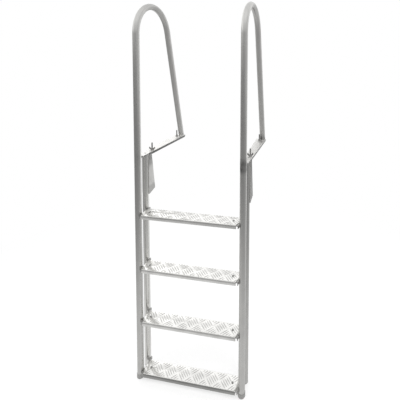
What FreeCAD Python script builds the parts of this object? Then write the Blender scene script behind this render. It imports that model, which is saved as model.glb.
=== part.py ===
import FreeCAD
import Part
import math
import os
import Sketcher

# Dock ladder with looped handrails. Z is up, X runs across the ladder to the right and Y runs back.
# The origin lies on the flat underside of the right bearer plate, above the edge of the dock.

doc = FreeCAD.newDocument("DockLadder")
sheet = doc.addObject("Spreadsheet::Sheet", "Dims")

DIMENSIONS = [
    ("rail_spacing", 548),
    ("tube_od", 33),
    ("tube_wall", 2.5),
    ("tube_inset", 12),
    ("weld_gap", 0.1),
    ("dock_reach", 128),
    ("rear_offset", 68),
    ("bend_radius", 157),
    ("loop_top", 803),
    ("leg_angle", 15.15),
    ("plate_width", 62),
    ("plate_narrow", 17),
    ("plate_gap", 5),
    ("plate_tail", 22),
    ("plate_thick", 6),
    ("plate_corner", 6),
    ("tongue_width", 24),
    ("bearer_width", 56),
    ("bearer_thick", 8),
    ("bearer_setback", 3.4),
    ("stud_od", 8),
    ("stud_height", 42),
    ("stud_head_od", 13),
    ("stud_head_thick", 3.5),
    ("hole_clearance", 0.3),
    ("front_stud_behind", 28),
    ("front_stud_side", 16),
    ("rear_stud_ahead", 37),
    ("rear_stud_side", -2),
    ("post_screw_od", 6),
    ("post_screw_head_od", 11),
    ("post_screw_head", 3),
    ("post_cap", 12),
    ("washer_od", 17),
    ("washer_thick", 1.6),
    ("nut_hub_od", 16),
    ("nut_hub_top_od", 12.5),
    ("nut_hub_height", 9.5),
    ("nut_span", 33),
    ("nut_height", 17),
    ("nut_wing_thick", 3.2),
    ("standoff_top_reach", 98),
    ("standoff_width", 40),
    ("standoff_wall", 3),
    ("standoff_drop", 192),
    ("standoff_cutback", 12),
    ("standoff_bend", 3.5),
    ("first_step", 276),
    ("step_pitch", 282),
    ("tube_below_tread", 36),
    ("tread_depth", 80),
    ("tread_overhang", 8),
    ("tread_thick", 3),
    ("tread_bend", 4),
    ("tread_end_gap", 4),
    ("lip_height", 19),
    ("corner_cut_side", 8),
    ("corner_cut_back", 28),
    ("bracket_leg", 50),
    ("bracket_drop", 16),
    ("bracket_thick", 4),
    ("bracket_back", 8),
    ("lip_clearance", 0.5),
    ("tread_screw_od", 6),
    ("tread_screw_head_od", 11.5),
    ("tread_screw_head", 3),
    ("tread_screw_inset", 35),
    ("tread_screw_tail", 6),
    ("foot_wall", 1.8),
    ("foot_grip", 16),
    ("foot_floor", 8),
    ("foot_bevel", 5),
    ("plug_floor", 4),
    ("plug_grip", 18),
    ("fit_clearance", 0.15),
]

for row, (alias, value) in enumerate(DIMENSIONS, start=1):
    sheet.set(f"A{row}", alias)
    sheet.set(f"B{row}", str(value))
    sheet.setAlias(f"B{row}", alias)
doc.recompute()

TREADS = 4

# Positions that several pieces share, each worked out from the sheet.
TUBE_R = "(Dims.tube_od / 2)"
RIGHT_X = "Dims.tube_inset"
LEFT_X = "(Dims.tube_inset - Dims.rail_spacing)"
MIDDLE_X = "(Dims.tube_inset - Dims.rail_spacing / 2)"
TUBE_Y = "(-Dims.dock_reach)"
POST_Y = "(Dims.rear_offset - Dims.dock_reach)"
TUBE_DROP = f"(Dims.first_step + {TREADS - 1} * Dims.step_pitch + Dims.tube_below_tread)"
PLATE_TOP = "(Dims.bearer_thick + Dims.plate_thick)"
BEND_Z = f"(Dims.loop_top - {TUBE_R} - Dims.bend_radius)"
LEAN = "(Dims.leg_angle * 1deg)"
LEG_START_Y = f"(Dims.bend_radius * (1 + cos({LEAN})))"
LEG_START_Z = f"({BEND_Z} + Dims.bend_radius * sin({LEAN}))"
FOOT_Y = f"({LEG_START_Y} + ({LEG_START_Z} - {PLATE_TOP}) * tan({LEAN}))"
TREAD_SCREW_HOLE = "(Dims.tread_screw_od + 2 * Dims.hole_clearance)"
POST_SCREW_HOLE = "(Dims.post_screw_od + 2 * Dims.hole_clearance)"
PLATE_FRONT = f"({TUBE_R} + Dims.plate_gap)"
PLATE_BACK = f"({FOOT_Y} + Dims.plate_tail)"
FRONT_STUD_Y = "(Dims.standoff_top_reach + Dims.front_stud_behind)"
REAR_STUD_Y = f"({FOOT_Y} - Dims.rear_stud_ahead)"
BEARER_FRONT = "(Dims.standoff_top_reach + Dims.bearer_setback)"
PLATE_LEFT = "(Dims.plate_width / 2 + Dims.tube_inset)"
PLATE_FLARE = f"(({PLATE_LEFT} - Dims.plate_narrow) / ({PLATE_BACK} - {PLATE_FRONT}))"
BEARER_MARGIN = "((Dims.plate_width - Dims.bearer_width) / 2)"
TREAD_HALF = f"(Dims.rail_spacing / 2 - {TUBE_R} - Dims.tread_end_gap)"
TREAD_FRONT = f"(-{TUBE_R} - Dims.tread_overhang)"
TREAD_BACK = f"({TREAD_FRONT} + Dims.tread_depth)"
TREAD_MIDDLE = f"({TREAD_FRONT} + Dims.tread_depth / 2)"
SCREW_X = f"(Dims.rail_spacing / 2 - {TUBE_R} - Dims.tread_screw_inset)"


def number(expression):
    value = sheet.evalExpression(expression)
    return float(getattr(value, "Value", value))


def place(piece, x="0", y="0", z="0"):
    for axis, expression in (("x", x), ("y", y), ("z", z)):
        piece.setExpression(f"Placement.Base.{axis}", f"({expression}) * 1mm")


def new_body(label):
    body = doc.addObject("PartDesign::Body", label)
    body.Label = label
    return body


def new_sketch(body, role, offset="0"):
    plane = [item for item in body.Origin.OriginFeatures if item.Role == role][0]
    sketch = body.newObject("Sketcher::SketchObject", body.Name + "_sketch")
    sketch.AttachmentSupport = (plane, [""])
    sketch.MapMode = "FlatFace"
    sketch.setExpression("AttachmentOffset.Base.z", f"({offset}) * 1mm")
    return sketch


def drive(sketch, constraint, expression):
    index = sketch.addConstraint(constraint)
    sketch.setExpression(f"Constraints[{index}]", expression)


def pin_point(sketch, geometry, end, x, y):
    drive(sketch, Sketcher.Constraint("DistanceX", -1, 1, geometry, end, number(x)), f"({x}) * 1mm")
    drive(sketch, Sketcher.Constraint("DistanceY", -1, 1, geometry, end, number(y)), f"({y}) * 1mm")


def add_outline(sketch, corners):
    points = [FreeCAD.Vector(number(x), number(y), 0) for x, y in corners]
    first = sketch.GeometryCount
    count = len(points)
    for i in range(count):
        sketch.addGeometry(Part.LineSegment(points[i], points[(i + 1) % count]), False)
    for i in range(count):
        following = first + (i + 1) % count
        sketch.addConstraint(Sketcher.Constraint("Coincident", first + i, 2, following, 1))
    for i, (x, y) in enumerate(corners):
        pin_point(sketch, first + i, 1, x, y)


def add_rectangle(sketch, x0, y0, x1, y1):
    add_outline(sketch, [(x0, y0), (x1, y0), (x1, y1), (x0, y1)])


def add_circle(sketch, x, y, diameter):
    centre = FreeCAD.Vector(number(x), number(y), 0)
    index = sketch.addGeometry(Part.Circle(centre, FreeCAD.Vector(0, 0, 1), number(diameter) / 2), False)
    pin_point(sketch, index, 3, x, y)
    drive(sketch, Sketcher.Constraint("Diameter", index, number(diameter)), f"({diameter}) * 1mm")


def pad(body, sketch, length, midplane=False, reverse=False):
    feature = body.newObject("PartDesign::Pad", body.Name + "_pad")
    feature.Profile = sketch
    feature.SideType = "Symmetric" if midplane else "One side"
    feature.Reversed = reverse
    feature.setExpression("Length", f"({length}) * 1mm")
    doc.recompute()
    return feature


def pocket(body, sketch, length=None, midplane=False, reverse=False):
    before = body.Shape.Volume
    feature = body.newObject("PartDesign::Pocket", body.Name + "_pocket")
    feature.Profile = sketch
    feature.SideType = "Symmetric" if midplane else "One side"
    feature.Reversed = reverse
    if length is None:
        feature.Type = "ThroughAll"
    else:
        feature.setExpression("Length", f"({length}) * 1mm")
    doc.recompute()
    if body.Shape.Volume > before - 1e-3:
        raise RuntimeError(f"a pocket of {body.Label} cuts nothing")
    return feature


def revolve(body, sketch):
    feature = body.newObject("PartDesign::Revolution", body.Name + "_turned")
    feature.Profile = sketch
    feature.ReferenceAxis = (sketch, ["V_Axis"])
    feature.Angle = 360
    doc.recompute()
    return feature


def round_edges(body, radius, wanted):
    base = body.Tip
    names = [f"Edge{i}" for i, edge in enumerate(base.Shape.Edges, start=1) if wanted(edge)]
    feature = body.newObject("PartDesign::Fillet", body.Name + "_round")
    feature.Base = (base, names)
    feature.setExpression("Radius", f"({radius}) * 1mm")
    doc.recompute()
    return feature


def along(edge, axis):
    first, last = edge.Vertexes[0].Point, edge.Vertexes[-1].Point
    line = last - first
    return line.Length > 1e-6 and abs(abs(line.normalize()[axis]) - 1) < 1e-6


# Handrail tube: one bent tube from the foot of the ladder up, round the loop and down to the deck plate.
def handrail_tube(label, x):
    body = new_body(label)
    path = new_sketch(body, "YZ_Plane")
    foot = f"(-{TUBE_DROP})"
    tail_z = f"({PLATE_TOP} - Dims.tube_od)"
    tail_y = f"({FOOT_Y} + Dims.tube_od * tan({LEAN}))"
    bend_z, radius = number(BEND_Z), number("Dims.bend_radius")
    centre = FreeCAD.Vector(radius, bend_z, 0)
    lean = math.radians(number("Dims.leg_angle"))
    upright = Part.LineSegment(FreeCAD.Vector(0, number(foot), 0), FreeCAD.Vector(0, bend_z, 0))
    path.addGeometry(upright, False)
    circle = Part.Circle(centre, FreeCAD.Vector(0, 0, 1), radius)
    path.addGeometry(Part.ArcOfCircle(circle, lean, math.pi), False)
    leg_start = FreeCAD.Vector(number(LEG_START_Y), number(LEG_START_Z), 0)
    path.addGeometry(Part.LineSegment(leg_start, FreeCAD.Vector(number(tail_y), number(tail_z), 0)), False)
    path.addConstraint(Sketcher.Constraint("Coincident", 0, 2, 1, 2))
    path.addConstraint(Sketcher.Constraint("Coincident", 1, 1, 2, 1))
    pin_point(path, 0, 1, "0", foot)
    pin_point(path, 0, 2, "0", BEND_Z)
    pin_point(path, 1, 3, "Dims.bend_radius", BEND_Z)
    drive(path, Sketcher.Constraint("DistanceX", -1, 1, 1, 1, leg_start.x), f"{LEG_START_Y} * 1mm")
    pin_point(path, 2, 2, tail_y, tail_z)
    outside = new_sketch(body, "XY_Plane", foot)
    add_circle(outside, "0", "0", "Dims.tube_od")
    inside = new_sketch(body, "XY_Plane", foot)
    add_circle(inside, "0", "0", "Dims.tube_od - 2 * Dims.tube_wall")
    doc.recompute()
    for kind, profile in (("PartDesign::AdditivePipe", outside), ("PartDesign::SubtractivePipe", inside)):
        pipe = body.newObject(kind, label + "_pipe")
        pipe.Profile = profile
        pipe.Spine = (path, ["Edge1", "Edge2", "Edge3"])
        doc.recompute()
    # the leg is cut level where it stands on the deck plate
    level = new_sketch(body, "XY_Plane", PLATE_TOP)
    around = "2 * Dims.tube_od"
    add_rectangle(level, f"-{around}", f"{FOOT_Y} - {around}", around, f"{FOOT_Y} + {around}")
    pocket(body, level, around)
    place(body, x, TUBE_Y)
    return body


# Rear post: straight tube behind the front tube, closed by a tapped cap under the deck plate.
def rear_post(label, x):
    body = new_body(label)
    length = f"({TUBE_DROP} + Dims.bearer_thick)"
    disc = new_sketch(body, "XY_Plane", "Dims.bearer_thick")
    add_circle(disc, "0", "0", "Dims.tube_od")
    pad(body, disc, length, reverse=True)
    bore = new_sketch(body, "XY_Plane", f"-{TUBE_DROP}")
    add_circle(bore, "0", "0", "Dims.tube_od - 2 * Dims.tube_wall")
    pocket(body, bore, f"{length} - Dims.post_cap", reverse=True)
    hole = new_sketch(body, "XY_Plane", "Dims.bearer_thick")
    add_circle(hole, "0", "0", POST_SCREW_HOLE)
    pocket(body, hole, "Dims.post_cap")
    place(body, x, POST_Y)
    return body


# Deck plate: flat bar that carries the handrail foot, with a tongue coped round the front tube.
# Its left edge flares out towards the back.
def deck_plate(label, x):
    body = new_body(label)
    outline = new_sketch(body, "XY_Plane", "Dims.bearer_thick")
    right = "Dims.plate_width / 2 - Dims.tube_inset"
    add_outline(outline, [
        ("-Dims.plate_narrow", PLATE_FRONT),
        (right, PLATE_FRONT),
        (right, PLATE_BACK),
        (f"-{PLATE_LEFT}", PLATE_BACK),
    ])
    pad(body, outline, "Dims.plate_thick")
    round_edges(body, "Dims.plate_corner", lambda edge: along(edge, 2))
    tongue = new_sketch(body, "XY_Plane", "Dims.bearer_thick")
    half = "Dims.tongue_width / 2"
    add_rectangle(tongue, f"-{half}", "0", half, f"{PLATE_FRONT} + Dims.plate_corner")
    pad(body, tongue, "Dims.plate_thick")
    holes = new_sketch(body, "XY_Plane", PLATE_TOP)
    add_circle(holes, "0", "0", "Dims.tube_od + 2 * Dims.weld_gap")
    add_circle(holes, "0", "Dims.rear_offset", POST_SCREW_HOLE)
    add_stud_holes(holes, "Dims.stud_od + 2 * Dims.hole_clearance")
    pocket(body, holes)
    place(body, x, TUBE_Y)
    return body


def add_stud_holes(sketch, diameter):
    add_circle(sketch, "Dims.front_stud_side - Dims.tube_inset", FRONT_STUD_Y, diameter)
    add_circle(sketch, "Dims.rear_stud_side - Dims.tube_inset", REAR_STUD_Y, diameter)


# Bearer plate: the lower bar, inside the deck plate's outline, that lies on the dock behind the standoff.
def bearer_plate(label, x):
    body = new_body(label)
    outline = new_sketch(body, "XY_Plane")
    right = "Dims.bearer_width / 2 - Dims.tube_inset"
    front_left = f"-Dims.plate_narrow - {PLATE_FLARE} * ({BEARER_FRONT} - {PLATE_FRONT}) + {BEARER_MARGIN}"
    add_outline(outline, [
        (front_left, BEARER_FRONT),
        (right, BEARER_FRONT),
        (right, PLATE_BACK),
        ("-Dims.bearer_width / 2 - Dims.tube_inset", PLATE_BACK),
    ])
    pad(body, outline, "Dims.bearer_thick")
    rear = number(REAR_STUD_Y)
    round_edges(body, "Dims.plate_corner", lambda edge: along(edge, 2) and edge.Vertexes[0].Y > rear)
    holes = new_sketch(body, "XY_Plane", "Dims.bearer_thick")
    add_stud_holes(holes, "Dims.stud_od + 2 * Dims.hole_clearance")
    pocket(body, holes)
    # the heads of the studs sink into the underside, so the bar lies flat
    sinks = new_sketch(body, "XY_Plane")
    add_stud_holes(sinks, "Dims.stud_head_od + 2 * Dims.hole_clearance")
    pocket(body, sinks, "Dims.stud_head_thick + Dims.hole_clearance", reverse=True)
    place(body, x, TUBE_Y)
    return body


# Standoff: folded channel behind the rear post. It grows wider as it goes down, then cuts back to the post.
def standoff(label, x):
    body = new_body(label)
    low = "(-Dims.standoff_drop - Dims.standoff_cutback)"
    high = "Dims.bearer_thick"
    side = new_sketch(body, "YZ_Plane")
    add_outline(side, [
        ("Dims.rear_offset", high),
        ("Dims.standoff_top_reach", high),
        ("Dims.dock_reach", "-Dims.standoff_drop"),
        (f"Dims.rear_offset + {TUBE_R}", low),
        ("Dims.rear_offset", low),
    ])
    pad(body, side, "Dims.standoff_width", midplane=True)
    round_edges(body, "Dims.standoff_bend", lambda edge: not along(edge, 0) and not along(edge, 1)
                and edge.BoundBox.YMax > number(f"Dims.rear_offset + {TUBE_R} + Dims.standoff_wall"))
    hollow = new_sketch(body, "YZ_Plane")
    add_outline(hollow, [
        ("Dims.rear_offset", high),
        ("Dims.standoff_top_reach - Dims.standoff_wall", high),
        ("Dims.dock_reach - Dims.standoff_wall", "-Dims.standoff_drop"),
        (f"Dims.rear_offset + {TUBE_R}", f"{low} + Dims.standoff_wall"),
        ("Dims.rear_offset", f"{low} + Dims.standoff_wall"),
    ])
    pocket(body, hollow, "Dims.standoff_width - 2 * Dims.standoff_wall", midplane=True)
    cope = new_sketch(body, "XY_Plane", high)
    add_circle(cope, "0", "Dims.rear_offset", "Dims.tube_od + 2 * Dims.weld_gap")
    pocket(body, cope, f"{high} - 2 * {low}")
    place(body, x, TUBE_Y)
    return body


# Tread: sheet bent down along the front and the back, with the four corners clipped.
def tread(label, index):
    body = new_body(label)
    front, back = TREAD_FRONT, TREAD_BACK
    channel = new_sketch(body, "YZ_Plane")
    add_outline(channel, [
        (front, "0"),
        (back, "0"),
        (back, "-Dims.lip_height"),
        (f"{back} - Dims.tread_thick", "-Dims.lip_height"),
        (f"{back} - Dims.tread_thick", "-Dims.tread_thick"),
        (f"{front} + Dims.tread_thick", "-Dims.tread_thick"),
        (f"{front} + Dims.tread_thick", "-Dims.lip_height"),
        (front, "-Dims.lip_height"),
    ])
    pad(body, channel, f"2 * {TREAD_HALF}", midplane=True)
    round_edges(body, "Dims.tread_bend", lambda edge: along(edge, 0) and abs(edge.Vertexes[0].Z) < 1e-6)
    corners = new_sketch(body, "XY_Plane", "Dims.tread_thick")
    slope = "Dims.corner_cut_side * Dims.tread_thick / Dims.corner_cut_back"
    for side in ("-1", "1"):
        past = f"{side} * ({TREAD_HALF} + Dims.tread_thick)"
        for edge_y, inward in ((front, "1"), (back, "-1")):
            beyond = f"{edge_y} - {inward} * Dims.tread_thick"
            within = f"{edge_y} + {inward} * Dims.corner_cut_back"
            add_outline(corners, [
                (f"{side} * ({TREAD_HALF} - Dims.corner_cut_side - {slope})", beyond),
                (past, beyond),
                (past, within),
                (f"{side} * {TREAD_HALF}", within),
            ])
    pocket(body, corners)
    holes = new_sketch(body, "XY_Plane", "Dims.tread_thick")
    for side in ("-1", "1"):
        add_circle(holes, f"{side} * {SCREW_X}", TREAD_MIDDLE, TREAD_SCREW_HOLE)
    pocket(body, holes)
    place(body, MIDDLE_X, TUBE_Y, step_top(index))
    return body


def step_top(index):
    return f"-Dims.first_step - {index} * Dims.step_pitch"


# Tread bracket: angle welded to the inner sides of both tubes, with its level leg under the tread.
def tread_bracket(label, x, side, index):
    body = new_body(label)
    outer = f"{side} * ({TUBE_R} + Dims.weld_gap)"
    inner = f"{side} * ({TUBE_R} + Dims.weld_gap + Dims.bracket_thick)"
    tip = f"{side} * ({TUBE_R} + Dims.bracket_leg)"
    top = "-Dims.tread_thick"
    angle = new_sketch(body, "XZ_Plane", f"-{TREAD_FRONT} - Dims.tread_thick - Dims.lip_clearance")
    add_outline(angle, [
        (outer, top),
        (tip, top),
        (tip, f"{top} - Dims.bracket_thick"),
        (inner, f"{top} - Dims.bracket_thick"),
        (inner, f"{top} - Dims.bracket_drop"),
        (outer, f"{top} - Dims.bracket_drop"),
    ])
    reach = f"Dims.rear_offset + Dims.bracket_back - {TREAD_FRONT} - Dims.tread_thick - Dims.lip_clearance"
    pad(body, angle, reach, reverse=True)
    # the level leg stops short of the lip at the back of the tread
    notch = new_sketch(body, "XY_Plane")
    clear = f"{TREAD_BACK} - Dims.tread_thick - Dims.lip_clearance"
    add_rectangle(notch, f"{inner} + {side} * Dims.weld_gap", clear, f"{tip} + {side} * Dims.bracket_leg",
                  "Dims.rear_offset + Dims.tube_od")
    pocket(body, notch, "Dims.bracket_drop + Dims.tread_thick")
    hole = new_sketch(body, "XY_Plane")
    add_circle(hole, f"{side} * ({TUBE_R} + Dims.tread_screw_inset)", TREAD_MIDDLE, TREAD_SCREW_HOLE)
    pocket(body, hole, "Dims.bracket_drop + Dims.tread_thick")
    place(body, x, TUBE_Y, step_top(index))
    return body


# Turned pieces, drawn as half a section beside their axis.
def turned(label, corners, x, y, z):
    body = new_body(label)
    section = new_sketch(body, "XZ_Plane")
    add_outline(section, corners)
    revolve(body, section)
    place(body, x, y, z)
    return body


def domed_screw(label, size, tail, x, y, z):
    shank = f"Dims.{size}_od / 2"
    head = f"Dims.{size}_head_od / 2"
    height = f"Dims.{size}_head"
    return turned(label, [
        ("0", height),
        (f"{head} * 0.7", height),
        (head, f"{height} * 0.4"),
        (head, "0"),
        (shank, "0"),
        (shank, tail),
        ("0", tail),
    ], x, y, z)


def tread_screw(label, x, index):
    tail = "-Dims.tread_thick - Dims.bracket_thick - Dims.tread_screw_tail"
    return domed_screw(label, "tread_screw", tail, x, f"{TUBE_Y} + {TREAD_MIDDLE}", step_top(index))


def post_screw(label, x):
    tail = f"-{PLATE_TOP} - Dims.post_cap"
    return domed_screw(label, "post_screw", tail, x, POST_Y, PLATE_TOP)


# Stud: its flat head lies in the underside of the bearer plate and its shank stands up through both bars.
def stud(label, x, y):
    shank = "Dims.stud_od / 2"
    head = "Dims.stud_head_od / 2"
    seat = "Dims.stud_head_thick + Dims.hole_clearance"
    top = f"{PLATE_TOP} + Dims.stud_height"
    return turned(label, [
        ("0", "Dims.hole_clearance"),
        (head, "Dims.hole_clearance"),
        (head, seat),
        (shank, seat),
        (shank, f"{top} - Dims.stud_od / 8"),
        (f"{shank} - Dims.stud_od / 8", top),
        ("0", top),
    ], x, y, "0")


def washer(label, x, y):
    bore = "Dims.stud_od / 2 + Dims.hole_clearance"
    return turned(label, [
        (bore, "0"),
        ("Dims.washer_od / 2", "0"),
        ("Dims.washer_od / 2", "Dims.washer_thick"),
        (bore, "Dims.washer_thick"),
    ], x, y, PLATE_TOP)


# Wing nut: tapered hub with two rounded wings that lean outwards, bored to run on the stud.
def wing_nut(label, x, y, turn):
    body = new_body(label)
    hub = new_sketch(body, "XZ_Plane")
    add_outline(hub, [
        ("0", "0"),
        ("Dims.nut_hub_od / 2", "0"),
        ("Dims.nut_hub_od / 2", "Dims.nut_hub_height * 0.2"),
        ("Dims.nut_hub_top_od / 2", "Dims.nut_hub_height"),
        ("0", "Dims.nut_hub_height"),
    ])
    revolve(body, hub)
    for side in ("1", "-1"):
        wing = new_sketch(body, "XZ_Plane")
        add_outline(wing, [
            (f"{side} * Dims.nut_hub_top_od * 0.3", "Dims.nut_hub_height * 0.1"),
            (f"{side} * Dims.nut_hub_od * 0.55", "Dims.nut_hub_height * 0.15"),
            (f"{side} * Dims.nut_span * 0.44", "Dims.nut_height * 0.42"),
            (f"{side} * Dims.nut_span * 0.5", "Dims.nut_height * 0.72"),
            (f"{side} * Dims.nut_span * 0.475", "Dims.nut_height * 0.93"),
            (f"{side} * Dims.nut_span * 0.41", "Dims.nut_height"),
            (f"{side} * Dims.nut_span * 0.32", "Dims.nut_height * 0.94"),
            (f"{side} * Dims.nut_hub_top_od * 0.3", "Dims.nut_hub_height * 0.85"),
        ])
        pad(body, wing, "Dims.nut_wing_thick", midplane=True)
    bore = new_sketch(body, "XY_Plane")
    add_circle(bore, "0", "0", "Dims.stud_od + 2 * Dims.fit_clearance")
    pocket(body, bore, "Dims.nut_height", reverse=True)
    place(body, x, y, f"{PLATE_TOP} + Dims.washer_thick")
    body.Placement.Rotation = FreeCAD.Rotation(FreeCAD.Vector(0, 0, 1), turn)
    return body


# Foot: cup pushed over the end of the front tube, a little wider than the tube and bevelled below.
def tube_foot(label, x):
    bore = f"({TUBE_R} + Dims.fit_clearance)"
    wide = f"({bore} + Dims.foot_wall)"
    return turned(label, [
        ("0", "0"),
        (bore, "0"),
        (bore, "Dims.foot_grip"),
        (wide, "Dims.foot_grip"),
        (wide, "Dims.foot_bevel - Dims.foot_floor"),
        (f"{wide} - Dims.foot_bevel * 0.3", "Dims.foot_bevel * 0.3 - Dims.foot_floor"),
        (f"{wide} - Dims.foot_bevel", "-Dims.foot_floor"),
        ("0", "-Dims.foot_floor"),
    ], x, TUBE_Y, f"-{TUBE_DROP}")


# Plug: flat cap pressed into the end of the rear post.
def post_plug(label, x):
    inside = f"({TUBE_R} - Dims.tube_wall - Dims.fit_clearance)"
    return turned(label, [
        ("0", "Dims.plug_grip"),
        (inside, "Dims.plug_grip"),
        (inside, "0"),
        (TUBE_R, "0"),
        (TUBE_R, "-Dims.plug_floor * 0.6"),
        (f"{TUBE_R} - Dims.plug_floor * 0.4", "-Dims.plug_floor"),
        ("0", "-Dims.plug_floor"),
    ], x, POST_Y, f"-{TUBE_DROP}")


nodes = []
for name, x, inward, rear_turn in (("left", LEFT_X, "1", 114), ("right", RIGHT_X, "-1", 100)):
    nodes.append(handrail_tube(f"handrail_tube_{name}", x))
    nodes.append(rear_post(f"rear_post_{name}", x))
    nodes.append(deck_plate(f"deck_plate_{name}", x))
    nodes.append(bearer_plate(f"bearer_plate_{name}", x))
    nodes.append(standoff(f"standoff_{name}", x))
    nodes.append(tube_foot(f"tube_foot_{name}", x))
    nodes.append(post_plug(f"post_plug_{name}", x))
    nodes.append(post_screw(f"post_screw_{name}", x))
    studs = (
        ("front", f"{x} + Dims.front_stud_side - Dims.tube_inset", f"{TUBE_Y} + {FRONT_STUD_Y}", 0),
        ("rear", f"{x} + Dims.rear_stud_side - Dims.tube_inset", f"{TUBE_Y} + {REAR_STUD_Y}", rear_turn),
    )
    for spot, stud_x, stud_y, turn in studs:
        nodes.append(stud(f"stud_{spot}_{name}", stud_x, stud_y))
        nodes.append(washer(f"washer_{spot}_{name}", stud_x, stud_y))
        nodes.append(wing_nut(f"wing_nut_{spot}_{name}", stud_x, stud_y, turn))
    for index in range(TREADS):
        nodes.append(tread_bracket(f"tread_bracket_{index + 1}_{name}", x, inward, index))

for index in range(TREADS):
    nodes.append(tread(f"tread_{index + 1}", index))
    screws = doc.addObject("Part::Compound", f"tread_screws_{index + 1}")
    screws.Links = [
        tread_screw(f"screw_left_{index + 1}", f"{MIDDLE_X} - {SCREW_X}", index),
        tread_screw(f"screw_right_{index + 1}", f"{MIDDLE_X} + {SCREW_X}", index),
    ]
    screws.Label = f"tread_screws_{index + 1}"
    nodes.append(screws)

doc.recompute()

for item in doc.Objects:
    if "Invalid" in item.State or "Error" in item.State:
        raise RuntimeError(f"{item.Label} failed: {item.State}")
for node in nodes:
    if node.Shape.isNull() or not node.Shape.isValid():
        raise RuntimeError(f"{node.Label} has no valid shape")

os.makedirs("parts", exist_ok=True)
for node in nodes:
    node.Shape.exportStep(f"parts/{node.Label}.step")
    print(f"{node.Label}: {len(node.Shape.Solids)} solid, {node.Shape.Volume:.0f} mm3")
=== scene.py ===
import bmesh
import bpy
import math
import numpy as np
from mathutils import Matrix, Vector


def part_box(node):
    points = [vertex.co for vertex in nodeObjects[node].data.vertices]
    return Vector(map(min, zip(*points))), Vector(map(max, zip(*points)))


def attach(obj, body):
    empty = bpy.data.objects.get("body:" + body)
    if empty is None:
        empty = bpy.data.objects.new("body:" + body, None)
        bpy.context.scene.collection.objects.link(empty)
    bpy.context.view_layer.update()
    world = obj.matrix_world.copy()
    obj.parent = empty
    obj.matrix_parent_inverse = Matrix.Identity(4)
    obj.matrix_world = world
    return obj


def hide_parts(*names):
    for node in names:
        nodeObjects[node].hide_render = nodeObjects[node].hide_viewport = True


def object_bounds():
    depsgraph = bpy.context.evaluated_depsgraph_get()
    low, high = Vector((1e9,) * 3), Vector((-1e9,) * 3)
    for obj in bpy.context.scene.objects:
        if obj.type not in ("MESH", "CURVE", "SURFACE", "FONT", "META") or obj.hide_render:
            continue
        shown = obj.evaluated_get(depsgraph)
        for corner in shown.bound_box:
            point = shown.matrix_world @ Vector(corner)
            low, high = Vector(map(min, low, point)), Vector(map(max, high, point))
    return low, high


# Dock ladder: two looped handrail tubes, two rear posts, plates that bolt to the deck, four treads.
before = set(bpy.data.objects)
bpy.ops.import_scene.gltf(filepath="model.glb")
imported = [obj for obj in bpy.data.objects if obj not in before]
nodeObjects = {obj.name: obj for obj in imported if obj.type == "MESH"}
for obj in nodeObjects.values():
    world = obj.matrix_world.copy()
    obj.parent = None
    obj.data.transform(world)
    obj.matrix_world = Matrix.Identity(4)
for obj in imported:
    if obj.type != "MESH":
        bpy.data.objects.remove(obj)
cadBox = [[float(c) for c in corner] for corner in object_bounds()]
sides = ("left", "right")
steps = (1, 2, 3, 4)
print("frame loaded:", len(nodeObjects), "nodes")


def nodeBox(name):
    low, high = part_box(name)
    return np.array(low), np.array(high)


# Places shared by many pieces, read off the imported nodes, in metres.
tubeLow, tubeHigh = nodeBox("handrail_tube_right")
postLow, postHigh = nodeBox("rear_post_right")
plateLow, plateHigh = nodeBox("deck_plate_right")
tubeR = (tubeHigh[0] - tubeLow[0]) / 2
tubeGirth = 2 * math.pi * tubeR
railX = {side: float(sum(nodeBox(f"handrail_tube_{side}")[k][0] for k in (0, 1)) / 2) for side in sides}
inward = {"right": -1.0, "left": 1.0}
midX = (railX["right"] + railX["left"]) / 2
tubeY = tubeLow[1] + tubeR
postY = (postLow[1] + postHigh[1]) / 2
footZ = tubeLow[2]
plateTop = float(plateHigh[2])
plateUnder = float(plateLow[2])
treadTop = {i: float(nodeBox(f"tread_{i}")[1][2]) for i in steps}
channelFoot = float(nodeBox("standoff_left")[0][2])


def makePiece(name, points, faces, material, faceUv, smooth=45.0):
    # One mesh object, shaded smooth except over edges sharper than the given angle.
    mesh = bpy.data.meshes.new(name)
    mesh.from_pydata(points.reshape(-1, 3).tolist(), [], faces)
    mesh.uv_layers.new(name="alongPiece").data.foreach_set("uv", faceUv.ravel())
    mesh.polygons.foreach_set("use_smooth", [True] * len(mesh.polygons))
    mesh.set_sharp_from_angle(angle=math.radians(smooth))
    mesh.materials.append(material)
    mesh.validate()
    piece = bpy.data.objects.new(name, mesh)
    bpy.context.collection.objects.link(piece)
    return piece


def tubeGrid(rings, offset=0, around=None, along=None, capped=True):
    # Quads between neighbouring rings, each ring closed on itself, and one flat face over each end.
    n, m = rings.shape[:2]
    i, j = np.meshgrid(np.arange(n - 1), np.arange(m), indexing="ij")
    k = (j + 1) % m
    quads = np.stack([i * m + j, i * m + k, (i + 1) * m + k, (i + 1) * m + j], -1).reshape(-1, 4) + offset
    faces = quads.tolist()
    if around is None:
        around = np.linspace(0, 1, m + 1)
    if along is None:
        along = np.linspace(0, 1, n)
    u = np.stack([around[j], around[j + 1], around[j + 1], around[j]], -1)
    v = np.stack([along[i], along[i], along[i + 1], along[i + 1]], -1)
    uv = np.stack([u, v], -1).reshape(-1, 2)
    if capped:
        faces.append((np.arange(m)[::-1] + offset).tolist())
        faces.append((np.arange(m) + (n - 1) * m + offset).tolist())
        uv = np.vstack([uv, np.zeros((2 * m, 2))])
    return faces, uv


def joinGrids(name, ringSets, material, smooth=45.0, openFirst=False):
    # Several grids in one piece, capped except the first where that one stays open.
    points, faces, uvs, offset = [], [], [], 0
    for rings in ringSets:
        gridFaces, uv = tubeGrid(rings, offset, capped=offset > 0 or not openFirst)
        points.append(rings.reshape(-1, 3))
        faces += gridFaces
        uvs.append(uv)
        offset += rings.shape[0] * rings.shape[1]
    return makePiece(name, np.vstack(points), faces, material, np.vstack(uvs), smooth)


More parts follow.
